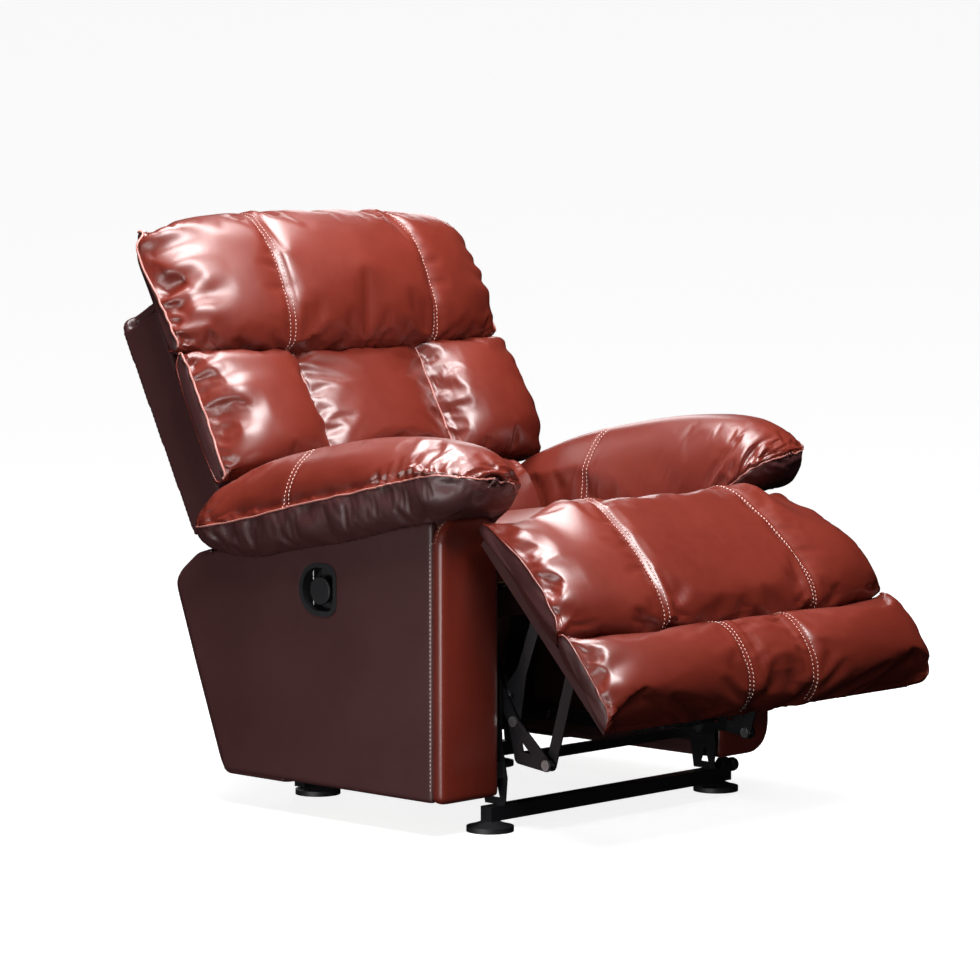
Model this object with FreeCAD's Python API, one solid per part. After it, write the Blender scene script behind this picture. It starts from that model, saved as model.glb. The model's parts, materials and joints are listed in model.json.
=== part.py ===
"""Recliner armchair: two fixed arms on a steel base, a reclining back and a linkage-driven footrest.

Millimetres. +Z is up, the sitter looks along -Y, and +X is the sitter's left.
The origin is on the floor under the middle of the chair. Pieces that move are drawn half reclined:
every joint is at zero in that pose.
"""
import math
import os

import FreeCAD
import Part

V = FreeCAD.Vector
os.makedirs("parts", exist_ok=True)

# --- Driving dimensions -------------------------------------------------------------------------
FRONT = -236.4              # y of the arms' front face
SEAT_WIDTH = 568.0          # between the arms
ARM_WIDTH = 135.0           # one arm, inner face to outer face
ARM_BOTTOM = 60.0           # height of the arm above the floor
ARM_FRONT_TOP = 530.0       # top of the arm at its front
ARM_BASE_LENGTH = 529.0     # arm's bottom edge, front to rear
ARM_TIP = (650.0, 376.0)    # rearmost corner of the arm: behind FRONT, above the floor
ARM_REAR_TOP = (592.0, 435.0)
ARM_FRONT_THICKNESS = 24.0
OUTER_BOARD = 14.0
INNER_BOARD = 12.0
PAD_OVERHANG = 48.0         # arm pad beyond the arm's outer face
SEAT_TOP = 497.0
SEAT_BOTTOM = 415.0
SEAT_REAR = 335.0           # rear end of the seat cushion behind FRONT
SEAT_RAIL = (350.0, 395.0)  # bottom and top of the seat frame rails
SEAT_RAIL_FRONT = 55.0      # front of the seat frame behind FRONT

TUBE = 25.0                 # square steel tube
GLIDE_HEIGHT = 17.0
GLIDE_RADIUS = 40.0
GLIDE_INSET = 10.0          # front glide's centre, in from the front rail's end
REAR_GLIDE_INSET = 45.0     # rear glide's centre, in from the side plate
BASE_RAIL = (88.0, 113.0)   # bottom and top of the rails along the sides
REAR_FOOT = 500.0           # rear cross rail's centre behind FRONT

PLATE = 3.0                 # steel links and side plates
LAYER_PITCH = 6.0           # from one layer of links to the next
PLATE_INSET = 16.0          # side plate's middle, from the arm's inner face
LINK_WIDTH = 22.0
PIN_RADIUS = 4.0
HEAD_RADIUS = 9.0
HEAD = 2.0
COLLAR_RADIUS = 7.0
RUNNING = 0.05              # radial clearance of a pin in a turning hole
OPEN_PIVOT = 0.6            # radial clearance where the linkage's loop is left open
FACE_GAP = 0.5              # a washer or a head beside a turning link
SOFT_GAP = 2.0              # a soft piece beside a piece of another body

# Footrest linkage at rest: distance behind FRONT and height above the floor
PIVOT = {
    "P1": (62.0, 312.0),    # support link on the side plate
    "P2": (30.0, 253.0),    # drive link on the side plate
    "A": (10.0, 227.0),     # support link on the carrier link
    "C": (-13.0, 184.0),    # carrier link on the drive link
    "B": (-88.0, 118.0),    # toe link on the drive link
    "F1": (-76.0, 399.0),   # carrier link on the footrest bracket
    "F2": (-151.0, 333.0),  # toe link on the footrest bracket
}
TORQUE_TUBE_AT = (-27.0, 125.0)
TORQUE_TUBE = 16.0
BOARD_END = (-30.0, 500.0)  # upper rear edge of the footrest board
BOARD_SLOPE = 41.6          # the board's fall below horizontal, degrees
BOARD_LENGTH = 420.0
BOARD = 18.0
UPPER_PAD_END = 256.0       # crease between the footrest pads, along the board
LOWER_PAD_END = 430.0
UPPER_PAD_HEIGHT = 98.0
UPPER_PAD_SIDE = 50.0
LOWER_PAD_HEIGHT = 84.0
FOOTREST_REAR_WIDTH = 736.0
FOOTREST_WIDTH = 828.0

BACK_PIVOT = (450.0, 330.0)
BACK_SLOPE = 28.0           # the back's lean behind vertical, degrees
BACK_WIDTH = 804.0
SHELL_WIDTH = 720.0
SHELL_TOP = 636.0           # along the back, from its pivot
SHELL_DEPTH = 134.0         # behind the line through the pivot
SHELL_BOARD = 14.0
WING_BOTTOM = 245.0
CREASE = 498.0              # between the head pillow and the lumbar cushions
HEAD_TOP = 760.0
LUMBAR_WIDTH = 312.0
LOWER_BACK_BOTTOM = 62.0

CUP_BEHIND = 289.0          # release cup's centre on the right arm, behind FRONT
CUP_DROP = 88.6             # and below the arm's sloping top
CUP_RADIUS = 40.0
CUP_DEPTH = 30.0
CUP_WALL = 3.0
CUP_FLANGE = 5.0
PADDLE_RADIUS = 24.0
PADDLE = 6.0

ARM_INNER = SEAT_WIDTH / 2
ARM_OUTER = ARM_INNER + ARM_WIDTH
PLATE_X = ARM_INNER - PLATE_INSET
RAIL_TOP = GLIDE_HEIGHT + TUBE


# --- Making and saving solids ---------------------------------------------------------------------
def save(name, *solids):
    shape = solids[0] if len(solids) == 1 else Part.makeCompound(list(solids))
    shape.exportStep("parts/" + name + ".step")


def mirrored(shape):
    """The same piece on the sitter's right."""
    return shape.mirror(V(0, 0, 0), V(1, 0, 0))


def save_both(name, shape):
    save(name + "_left", shape)
    save(name + "_right", mirrored(shape))


def box(x, y, z):
    """A box from three (low, high) pairs."""
    return Part.makeBox(x[1] - x[0], y[1] - y[0], z[1] - z[0], V(x[0], y[0], z[0]))


def rounded(shape, radius):
    return shape.makeFillet(radius, shape.Edges)


def chair(point):
    """From (behind FRONT, above the floor) to (y, z)."""
    return FRONT + point[0], point[1]


def side_prism(points, low_x, high_x):
    """A straight-sided outline of (y, z) points, drawn out across the chair."""
    corners = [V(low_x, y, z) for y, z in points]
    return Part.Face(Part.makePolygon(corners + corners[:1])).extrude(V(high_x - low_x, 0, 0))


def smooth_prism(points, low_x, high_x):
    """A soft outline of (y, z) points as one closed curve, drawn out across the chair."""
    curve = Part.BSplineCurve()
    curve.interpolate(Points=[V(low_x, y, z) for y, z in points], PeriodicFlag=True)
    return Part.Face(Part.Wire(curve.toShape())).extrude(V(high_x - low_x, 0, 0))


def rod(point, low_x, high_x, radius):
    y, z = point
    return Part.makeCylinder(radius, high_x - low_x, V(low_x, y, z), V(1, 0, 0))


def layer(number):
    """Low and high x of a layer of plates; layer 0 is the side plate, by the arm."""
    middle = PLATE_X - number * LAYER_PITCH
    return middle - PLATE / 2, middle + PLATE / 2


def bar(number, start, end):
    """A flat link with round ends."""
    low, high = layer(number)
    (y1, z1), (y2, z2) = start, end
    length = math.hypot(y2 - y1, z2 - z1)
    across = ((z1 - z2) / length * LINK_WIDTH / 2, (y2 - y1) / length * LINK_WIDTH / 2)
    sides = [(y1 + across[0], z1 + across[1]), (y2 + across[0], z2 + across[1]),
             (y2 - across[0], z2 - across[1]), (y1 - across[0], z1 - across[1])]
    straight = side_prism(sides, low, high)
    return straight.fuse([rod(start, low, high, LINK_WIDTH / 2), rod(end, low, high, LINK_WIDTH / 2)])


def bored(plate, *holes):
    """A plate with (point, radius) holes through it."""
    for point, radius in holes:
        plate = plate.cut(rod(point, 0, ARM_OUTER, radius))
    return plate


def pivot_pin(point, fixed, turning, loose=0.0):
    """A rivet held in layer `fixed`, on which layer `turning` swings between a collar and a head."""
    fixed_low, fixed_high = layer(fixed)
    turn_low, turn_high = layer(turning)
    shank = rod(point, turn_low - FACE_GAP - HEAD, fixed_high + HEAD, PIN_RADIUS - loose)
    held = rod(point, fixed_low, fixed_high + HEAD, PIN_RADIUS)
    outer_head = rod(point, fixed_high, fixed_high + HEAD, HEAD_RADIUS)
    inner_head = rod(point, turn_low - FACE_GAP - HEAD, turn_low - FACE_GAP, HEAD_RADIUS)
    collar = rod(point, turn_high + FACE_GAP, fixed_low, COLLAR_RADIUS)
    return shank.fuse([held, outer_head, inner_head, collar])


def both_sides(*solids):
    return list(solids) + [mirrored(solid) for solid in solids]


# --- Base: rails, glides and side plates ------------------------------------------------------------
P = {name: chair(point) for name, point in PIVOT.items()}
back_pivot = chair(BACK_PIVOT)
front_rail_end = ARM_INNER + 16.0
save("front_rail", box((-front_rail_end, front_rail_end), (FRONT + 2, FRONT + 2 + TUBE),
                       (GLIDE_HEIGHT, RAIL_TOP)))
rear_rail_y = FRONT + REAR_FOOT
save("rear_rail", box((-PLATE_X, PLATE_X), (rear_rail_y - TUBE / 2, rear_rail_y + TUBE / 2),
                      (GLIDE_HEIGHT, RAIL_TOP)))


def glide(x, y):
    """A round plastic foot: a disc with a dished top up to the rail."""
    disc_height = 9.0
    disc = Part.makeCylinder(GLIDE_RADIUS, disc_height, V(x, y, 0))
    neck = Part.makeCone(GLIDE_RADIUS - 4, TUBE * 0.6, GLIDE_HEIGHT - disc_height, V(x, y, disc_height))
    return disc.fuse(neck)


save("glides", *both_sides(glide(front_rail_end - GLIDE_INSET, FRONT + 2 + TUBE / 2),
                          glide(PLATE_X - REAR_GLIDE_INSET, rear_rail_y)))

plate_low, plate_high = layer(0)
rail_high = BASE_RAIL[1]
bolt_places = [(FRONT + y, sum(BASE_RAIL) / 2) for y in (120.0, 400.0)]
bolt_holes = [(place, PIN_RADIUS) for place in bolt_places]
base_rail = box((plate_high, ARM_INNER), (FRONT + 4, FRONT + ARM_BASE_LENGTH - 8), BASE_RAIL)
save("base_rails", *both_sides(bored(base_rail, *bolt_holes)))

front_plate = side_prism([chair(point) for point in (
    (0, RAIL_TOP), (46, RAIL_TOP), (54, BASE_RAIL[0]), (88, rail_high + 40), (84, PIVOT["P1"][1]),
    (80, SEAT_RAIL[1]), (SEAT_RAIL_FRONT, SEAT_RAIL[1]), (PIVOT["P2"][0] - 18, PIVOT["P2"][1] + 4),
    (8, rail_high + 30), (-4, BASE_RAIL[0]))], plate_low, plate_high)
leg_slot = side_prism([chair(point) for point in (
    (12, RAIL_TOP + 12), (30, RAIL_TOP + 12), (20, BASE_RAIL[0] - 6))], plate_low - 1, plate_high + 1)
front_plate = bored(front_plate.cut(leg_slot), (P["P1"], PIN_RADIUS), (P["P2"], PIN_RADIUS))
save_both("front_side_plate", front_plate)

pivot_y, pivot_z = BACK_PIVOT
rear_plate = side_prism([chair(point) for point in (
    (REAR_FOOT - 16, RAIL_TOP), (REAR_FOOT + 10, RAIL_TOP), (REAR_FOOT + 18, rail_high),
    (pivot_y + 34, pivot_z + 6), (pivot_y + 18, pivot_z + 24), (pivot_y - 14, pivot_z + 26),
    (SEAT_REAR, SEAT_RAIL[1]), (SEAT_REAR - 40, SEAT_RAIL[1]), (SEAT_REAR - 40, SEAT_RAIL[0]),
    (pivot_y - 30, pivot_z - 30), (REAR_FOOT - 50, rail_high))], plate_low, plate_high)
save_both("rear_side_plate", bored(rear_plate, (back_pivot, PIN_RADIUS)))

# --- Base: seat frame, springs and cushion ------------------------------------------------------------
SEAT_RAIL_THICKNESS = 24.0
SPRING_WIRE = 4.0


def zigzag(length, pitch, width, wire):
    """A sinuous spring of square wire along +Y from the origin, bent to and fro in the XY plane."""
    turns = int(length / pitch)
    step = length / turns
    knots = [V(0, 0, 0)]
    for turn in range(turns):
        side = width / 2 if turn % 2 else -width / 2
        knots += [V(side, (turn + 0.3) * step, 0), V(side, (turn + 0.7) * step, 0)]
    knots.append(V(0, length, 0))
    runs = [(after - before).normalize() for before, after in zip(knots, knots[1:])]
    left, right = [], []
    for knot, before, after in zip(knots, runs[:1] + runs, runs + runs[-1:]):
        along = (before + after).normalize()
        mitre = V(-along.y, along.x, 0) * (wire / 2 / along.dot(before))
        left.append(knot + mitre)
        right.append(knot - mitre)
    outline = left + right[::-1]
    return Part.Face(Part.makePolygon(outline + outline[:1])).extrude(V(0, 0, wire))


seat_rail_outer = plate_low
rail_inner = seat_rail_outer - SEAT_RAIL_THICKNESS
seat_front_y = FRONT + SEAT_RAIL_FRONT
seat_rear_y = FRONT + SEAT_REAR
side_rail = box((rail_inner, seat_rail_outer), (seat_front_y, seat_rear_y), SEAT_RAIL)
save("seat_side_rails", *both_sides(side_rail))
for name, y in (("front", seat_front_y), ("rear", seat_rear_y - SEAT_RAIL_THICKNESS)):
    save("seat_%s_rail" % name, box((-rail_inner, rail_inner), (y, y + SEAT_RAIL_THICKNESS), SEAT_RAIL))
springs = []
spring_pitch = rail_inner * 0.37
for x in (-2 * spring_pitch, -spring_pitch, 0, spring_pitch, 2 * spring_pitch):
    spring = zigzag(seat_rear_y - seat_front_y - 10, 26.0, 46.0, SPRING_WIRE)
    spring.translate(V(x, seat_front_y + 5, SEAT_RAIL[1]))
    springs.append(spring)
save("seat_springs", *springs)
seat_half = ARM_INNER - SOFT_GAP
save("seat_cushion", rounded(box((-seat_half, seat_half), (FRONT + 2, seat_rear_y),
                                 (SEAT_BOTTOM, SEAT_TOP)), 28.0))

# --- Arms -----------------------------------------------------------------------------------------------
tip_y, tip_z = ARM_TIP
rear_top_y, rear_top_z = ARM_REAR_TOP
corner = (tip_y - 13, tip_z + 24)
arm_top_slope = (ARM_FRONT_TOP - rear_top_z) / rear_top_y


def arm_top(y, drop=0.0):
    """Height of the arm's sloping top edge at y behind FRONT."""
    return ARM_FRONT_TOP - arm_top_slope * y - drop


def arm_outline(front):
    return [chair(point) for point in (
        (front, ARM_BOTTOM), (ARM_BASE_LENGTH, ARM_BOTTOM), ARM_TIP, corner,
        (rear_top_y, rear_top_z), (front, arm_top(front)))]


outer_panel = side_prism(arm_outline(ARM_FRONT_THICKNESS), ARM_OUTER - OUTER_BOARD, ARM_OUTER)
inner_panel = side_prism(arm_outline(ARM_FRONT_THICKNESS), ARM_INNER, ARM_INNER + INNER_BOARD)
save_both("arm_inner_panel", bored(inner_panel, *bolt_holes))


def arm_front(bottom_radius):
    """The padded front board: rounded over the top, and at its outer bottom corner."""
    board = box((ARM_INNER, ARM_OUTER), (FRONT, FRONT + ARM_FRONT_THICKNESS), (ARM_BOTTOM, ARM_FRONT_TOP))
    upright = [e for e in board.Edges if abs(e.tangentAt(e.FirstParameter).y) > 0.9]
    top = [e for e in upright if e.CenterOfMass.z > ARM_FRONT_TOP - 1]
    bottom = [e for e in upright if e.CenterOfMass.z < ARM_BOTTOM + 1 and e.CenterOfMass.x > ARM_OUTER - 1]
    top_radius = ARM_WIDTH * 0.3
    front = board.makeFillet(top_radius, top)
    edges = [e for e in front.Edges
             if e.CenterOfMass.distanceToPoint(bottom[0].CenterOfMass) < 0.01]
    return front.makeFillet(bottom_radius, edges)


save("arm_front_left", arm_front(50.0))
save("arm_front_right", mirrored(arm_front(8.0)))

POST = 38.0
cavity = (ARM_INNER + INNER_BOARD, ARM_OUTER - OUTER_BOARD)
behind_front = ARM_FRONT_THICKNESS
front_post = side_prism([chair(point) for point in (
    (behind_front, ARM_BOTTOM + POST), (behind_front + POST, ARM_BOTTOM + POST),
    (behind_front + POST, arm_top(behind_front + POST, POST)),
    (behind_front, arm_top(behind_front, POST)))], *cavity)
top_rail = side_prism([chair(point) for point in (
    (behind_front, arm_top(behind_front, POST)),
    (rear_top_y, arm_top(rear_top_y, POST)),
    (rear_top_y, arm_top(rear_top_y)),
    (behind_front, arm_top(behind_front)))], *cavity)
bottom_rail = side_prism([chair(point) for point in (
    (behind_front, ARM_BOTTOM), (ARM_BASE_LENGTH, ARM_BOTTOM),
    (ARM_BASE_LENGTH + POST * 0.377, ARM_BOTTOM + POST), (behind_front, ARM_BOTTOM + POST))], *cavity)
rear_post = side_prism([chair(point) for point in (
    (ARM_BASE_LENGTH - POST, ARM_BOTTOM + POST), (ARM_BASE_LENGTH + POST * 0.377, ARM_BOTTOM + POST),
    ARM_TIP, corner, (rear_top_y, rear_top_z), (rear_top_y, arm_top(rear_top_y, POST)),
    (rear_top_y - POST, arm_top(rear_top_y - POST, POST)))], *cavity)
save_both("arm_frame", Part.makeCompound([front_post, top_rail, bottom_rail, rear_post]))

# The pad's outline, front to rear over the top and back along the underside
PAD_OUTLINE = [(-174, 592), (-156, 623), (-79, 647), (58, 657), (175, 647), (344, 608), (469, 553),
               (540, 508), (508, 452), (445, 444), (297, 468), (59, 520), (-123, 556)]
pad = smooth_prism([chair(point) for point in PAD_OUTLINE], ARM_INNER + 3, ARM_OUTER + PAD_OVERHANG)
pad_seat = side_prism([chair(point) for point in (
    (-2, 0), (tip_y + 20, 0), (tip_y + 20, arm_top(tip_y + 20) + 1),
    (ARM_FRONT_THICKNESS + 1, ARM_FRONT_TOP + 1), (-2, ARM_FRONT_TOP + 1))],
    ARM_INNER - 10, ARM_OUTER + 1)
save_both("arm_pad", pad.cut(pad_seat))

arm_bolts = []
for place in bolt_places:
    head = rod(place, plate_high - 5, plate_high, 7.0)
    shank = rod(place, plate_high - 5, ARM_INNER + INNER_BOARD, PIN_RADIUS)
    arm_bolts += both_sides(head.fuse(shank))
save("arm_bolts", *arm_bolts)

# --- Arms: release cup and its paddle, on the right arm -------------------------------------------------
cup_y, cup_z = chair((CUP_BEHIND, arm_top(CUP_BEHIND, CUP_DROP)))


def cup_prism(grow, low_x, high_x):
    """The cup's outline, round at the rear and square at the front, drawn out across the chair."""
    radius = CUP_RADIUS + grow
    corner_radius = CUP_RADIUS * 0.5 + grow
    round_end = rod((cup_y + 3, cup_z), low_x, high_x, radius)
    front_y = cup_y + 3 - CUP_RADIUS - grow
    block = box((low_x, high_x), (front_y, cup_y + 3), (cup_z - radius, cup_z + radius))
    corners = [e for e in block.Edges
               if abs(e.tangentAt(e.FirstParameter).x) > 0.9 and e.CenterOfMass.y < front_y + 1]
    return round_end.fuse(block.makeFillet(corner_radius, corners)).removeSplitter()


right_face = -ARM_OUTER
hole = cup_prism(0.5, right_face - 1, right_face + OUTER_BOARD + 1)
save("arm_outer_panel_left", outer_panel)
save("arm_outer_panel_right", mirrored(outer_panel).cut(hole))
bowl = cup_prism(0, right_face - 1, right_face + CUP_DEPTH)
flange = cup_prism(CUP_FLANGE, right_face - 3, right_face)
hollow = cup_prism(-CUP_WALL, right_face - 4, right_face + CUP_DEPTH - CUP_WALL)
PADDLE_HINGE = (right_face + 12.0, cup_y + 27.0)   # (x, y) of the paddle's upright pin
hinge_x, hinge_y = PADDLE_HINGE
PADDLE_PIN = 2.5


def upright_rod(low_z, high_z, radius):
    return Part.makeCylinder(radius, high_z - low_z, V(hinge_x, hinge_y, low_z))


pin_half = 31.0
cup = bowl.fuse(flange).cut(hollow).cut(upright_rod(cup_z - pin_half, cup_z + pin_half, PADDLE_PIN))
save("release_cup", cup)
save("release_hinge_pin", upright_rod(cup_z - pin_half, cup_z + pin_half, PADDLE_PIN))
paddle_y = cup_y + 4.0
disc = rod((paddle_y, cup_z - 3), right_face + 3, right_face + 3 + PADDLE, PADDLE_RADIUS)
disc = disc.makeFillet(1.8, disc.Edges)
arm = box((right_face + 5, right_face + 3 + PADDLE), (paddle_y, hinge_y), (cup_z - 10, cup_z + 10))
boss = upright_rod(cup_z - 10, cup_z + 10, PADDLE_PIN + 2.5)
paddle = disc.fuse([arm, boss]).cut(upright_rod(cup_z - 40, cup_z + 40, PADDLE_PIN + RUNNING))
save("release_paddle", paddle)

# --- Base: rear panel and the lock knob on the left front foot ---------------------------------------------
REAR_PANEL_TOP = 240.0
edge_slope = (tip_y - ARM_BASE_LENGTH) / (tip_z - ARM_BOTTOM)


def rear_edge(z, inset):
    return ARM_BASE_LENGTH + (z - ARM_BOTTOM) * edge_slope - inset


save("rear_panel", side_prism([chair(point) for point in (
    (rear_edge(60, 16), 60), (rear_edge(60, 2), 60), (rear_edge(REAR_PANEL_TOP, 2), REAR_PANEL_TOP),
    (rear_edge(REAR_PANEL_TOP, 16), REAR_PANEL_TOP))], -ARM_INNER, ARM_INNER))

KNOB_RADIUS = 12.5
KNOB_LENGTH = 22.0
STEM_RADIUS = 4.0
CAP_LENGTH = 18.0
STEM_DEPTH = 12.0
knob_at = (FRONT + 2 + TUBE / 2, RAIL_TOP)
bracket_x = (front_rail_end, front_rail_end + CAP_LENGTH)
rail_y = (FRONT + 2, FRONT + 2 + TUBE)
cap_top = ARM_BOTTOM - 3
cap = side_prism([(rail_y[0], GLIDE_HEIGHT), (rail_y[1], GLIDE_HEIGHT), (rail_y[1], RAIL_TOP + 3),
                  (knob_at[0] + 4, cap_top), (knob_at[0] - 4, cap_top), (rail_y[0], RAIL_TOP + 3)], *bracket_x)
save("lock_bracket", cap.cut(rod(knob_at, bracket_x[1] - STEM_DEPTH, bracket_x[1] + 1, STEM_RADIUS + RUNNING)))
knob_start = bracket_x[1] + 4
stem = rod(knob_at, bracket_x[1] - STEM_DEPTH + FACE_GAP, knob_start + 4, STEM_RADIUS)
grip = rod(knob_at, knob_start, knob_start + KNOB_LENGTH, KNOB_RADIUS)
save("lock_knob", stem.fuse(grip.makeFillet(KNOB_RADIUS * 0.7, grip.Edges[0:3:2])))

# --- Footrest linkage ------------------------------------------------------------------------------------
TURN = PIN_RADIUS + RUNNING
LOOSE = PIN_RADIUS + OPEN_PIVOT
support_link = bored(bar(3, P["P1"], P["A"]), (P["P1"], TURN), (P["A"], LOOSE))
save("support_links", *both_sides(support_link))

tube_place = chair(TORQUE_TUBE_AT)
drive_link = bar(1, P["P2"], P["C"]).fuse([bar(1, P["C"], P["B"]), bar(1, tube_place, P["C"]),
                                           bar(1, tube_place, P["B"])])
drive_low = layer(1)[0]
drive_link = bored(drive_link, (P["P2"], TURN), (P["C"], PIN_RADIUS), (P["B"], PIN_RADIUS))
save("drive_links", *both_sides(drive_link))
tube_y, tube_z = tube_place
half_tube = TORQUE_TUBE / 2
save("torque_tube", box((-drive_low, drive_low), (tube_y - half_tube, tube_y + half_tube),
                        (tube_z - half_tube, tube_z + half_tube)))

# The carrier link bends forward round the support link's pin when the footrest is shut
CARRIER_BEND = (-26.0, 266.0)
bend = chair(CARRIER_BEND)
carrier = bar(2, P["F1"], bend).fuse([bar(2, bend, P["A"]), bar(2, bend, P["C"]), bar(2, P["A"], P["C"])])
carrier = bored(carrier, (P["C"], TURN), (P["A"], PIN_RADIUS), (P["F1"], PIN_RADIUS))
save("carrier_links", *both_sides(carrier))
save("toe_links", *both_sides(bored(bar(3, P["B"], P["F2"]), (P["B"], TURN), (P["F2"], PIN_RADIUS))))

save("side_plate_pins", *both_sides(pivot_pin(P["P1"], 0, 3), pivot_pin(P["P2"], 0, 1),
                                    pivot_pin(back_pivot, 0, 1)))
save("drive_link_pins", *both_sides(pivot_pin(P["C"], 1, 2), pivot_pin(P["B"], 1, 3)))
save("carrier_link_pins", *both_sides(pivot_pin(P["A"], 2, 3), pivot_pin(P["F1"], 2, 4)))
save("toe_link_pins", *both_sides(pivot_pin(P["F2"], 3, 4)))

# --- Footrest: drawn flat and level, with its rear edge on the origin, then sloped into place -----------------
end_y, end_z = chair(BOARD_END)
footrest = FreeCAD.Placement(V(0, end_y, end_z), FreeCAD.Rotation(V(1, 0, 0), BOARD_SLOPE))


def placed(shape, placement):
    moved = shape.copy()
    moved.Placement = placement.multiply(moved.Placement)
    return moved


def along_board(point):
    """From (y, z) in the chair to the flat footrest's (y, z)."""
    flat = footrest.inverse().multVec(V(0, point[0], point[1]))
    return flat.y, flat.z


def tapered(start, end, low_z, high_z, trim=0.0):
    """A slab of the footrest's taper from `start` to `end` along the board."""
    def half(along):
        spread = (FOOTREST_WIDTH - FOOTREST_REAR_WIDTH) / 2 * min(along / UPPER_PAD_END, 1.0)
        return FOOTREST_REAR_WIDTH / 2 + spread - trim
    corners = [V(-half(start), -start, low_z), V(half(start), -start, low_z),
               V(half(end), -end, low_z), V(-half(end), -end, low_z)]
    return Part.Face(Part.makePolygon(corners + corners[:1])).extrude(V(0, 0, high_z - low_z))


board_trim = 22.0
save("footrest_board", placed(tapered(0, BOARD_LENGTH, -BOARD, 0, board_trim), footrest))
# The upper pad is highest between the arm pads' tips, which its sides pass under
crown_half = ARM_INNER - 10
crown = rounded(box((-crown_half, crown_half), (1 - UPPER_PAD_END, 6), (0.5, UPPER_PAD_HEIGHT)), 34.0)
upper = rounded(tapered(-6, UPPER_PAD_END - 1, 0.5, UPPER_PAD_SIDE), 22.0).fuse(crown)
lower = rounded(tapered(UPPER_PAD_END + 1, LOWER_PAD_END, 0.5, LOWER_PAD_HEIGHT), 32.0)
save("footrest_upper_pad", placed(upper, footrest))
save("footrest_lower_pad", placed(lower, footrest))
hinge_1 = along_board(P["F1"])
hinge_2 = along_board(P["F2"])
bracket_low, bracket_high = layer(4)
bracket_start = hinge_1[0] + 13
bracket_end = -BOARD_LENGTH * 0.74
web = side_prism([(bracket_start, -BOARD), (bracket_end, -BOARD), (bracket_end, -BOARD - 16),
                  (hinge_2[0] - 26, hinge_2[1] - 2), (hinge_2[0] - 12, hinge_2[1] - 13),
                  (hinge_1[0] + 8, hinge_1[1] - 13), (bracket_start, hinge_1[1] - 6)],
                 bracket_low, bracket_high)
flange_strip = box((bracket_low - 22, bracket_high), (bracket_end, bracket_start), (-BOARD - PLATE, -BOARD))
footrest_bracket = bored(web.fuse(flange_strip), (hinge_1, TURN), (hinge_2, LOOSE))
save("footrest_brackets", *both_sides(placed(footrest_bracket, footrest)))
screws = []
for along in (105, 190, 280):
    at = V(bracket_low - 12, -along, 0)
    head = Part.makeCylinder(5, 2.5, at + V(0, 0, -BOARD - PLATE - 2.5))
    screws += both_sides(head)
save("footrest_screws", *[placed(screw, footrest) for screw in screws])

# --- Back: drawn upright with its pivot on the origin, then leaned into place ------------------------------------
back = FreeCAD.Placement(V(0, *back_pivot), FreeCAD.Rotation(V(1, 0, 0), -BACK_SLOPE))
half_back = BACK_WIDTH / 2
half_shell = SHELL_WIDTH / 2
half_lower = ARM_INNER - 16.0
half_lumbar = LUMBAR_WIDTH / 2
FRAME_Y = (45.0, 75.0)          # wooden frame, front and rear
CUSHION_REAR = 34.0
HEAD_FRONT = -112.0
HEAD_ROLL_REAR = 74.0           # the pillow rolls back over the top rail
HEAD_ROLL_BOTTOM = 640.0
rear_inner = SHELL_DEPTH - SHELL_BOARD


def save_back(name, *solids):
    save(name, *[placed(solid, back) for solid in solids])


pillow = rounded(box((-half_back, half_back), (HEAD_FRONT, CUSHION_REAR), (CREASE + 2, HEAD_TOP)), 52.0)
roll = rounded(box((-half_back, half_back), (HEAD_FRONT, HEAD_ROLL_REAR), (HEAD_ROLL_BOTTOM, HEAD_TOP)), 52.0)
save_back("head_pillow", pillow.fuse(roll))
lumbar_z = (WING_BOTTOM - 4, CREASE)
save_back("lumbar_cushion", rounded(box((-half_lumbar + 1, half_lumbar - 1), (-68, CUSHION_REAR), lumbar_z), 30.0))
wing = rounded(box((half_lumbar + 1, half_back - 2), (-80, CUSHION_REAR), (WING_BOTTOM, CREASE)), 34.0)
save_back("wing_cushion_left", wing)
save_back("wing_cushion_right", mirrored(wing))
save_back("lower_back_cushion", rounded(box((-half_lower, half_lower), (-124, 28),
                                            (LOWER_BACK_BOTTOM, WING_BOTTOM - 7)), 40.0))
post = box((rail_inner - 6, layer(1)[0]), FRAME_Y, (30, 600))
save_back("back_posts", *both_sides(post))
cross_inner = rail_inner - 6
save_back("back_cross_rails", *[box((-cross_inner, cross_inner), FRAME_Y, (low, low + 30))
                                for low in (66.0, 300.0, 570.0)])
back_springs = []
for x in (-150, -50, 50, 150):
    spring = zigzag(500, 26.0, 46.0, SPRING_WIRE)
    spring.rotate(V(0, 0, 0), V(1, 0, 0), 90)
    spring.translate(V(x, FRAME_Y[0], 80))
    back_springs.append(spring)
save_back("back_springs", *back_springs)
bracket = side_prism([(-16, -10), (-8, -18), (10, -18), (72, 30), (72, 230), (50, 230), (40, 70), (-10, 16)],
                     *layer(1))
bracket = bored(bracket, ((0, 0), TURN))
save_back("back_brackets", *both_sides(bracket))
shell_corner = 26.0
rear_board = box((-half_shell, half_shell), (rear_inner, SHELL_DEPTH), (WING_BOTTOM - 30, SHELL_TOP))
corners = [e for e in rear_board.Edges
           if abs(e.tangentAt(e.FirstParameter).y) > 0.9 and e.CenterOfMass.z > SHELL_TOP - 1]
save_back("back_rear_panel", rear_board.makeFillet(shell_corner, corners))
lower_panel = box((6 - PLATE_X, PLATE_X - 6), (rear_inner, SHELL_DEPTH), (-60, WING_BOTTOM - 31))
save_back("back_lower_panel", lower_panel)
side_board = box((half_shell - SHELL_BOARD, half_shell), (CUSHION_REAR + 2, rear_inner),
                 (WING_BOTTOM - 30, SHELL_TOP - shell_corner))
save_back("back_side_panel_left", side_board)
save_back("back_side_panel_right", mirrored(side_board))
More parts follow.
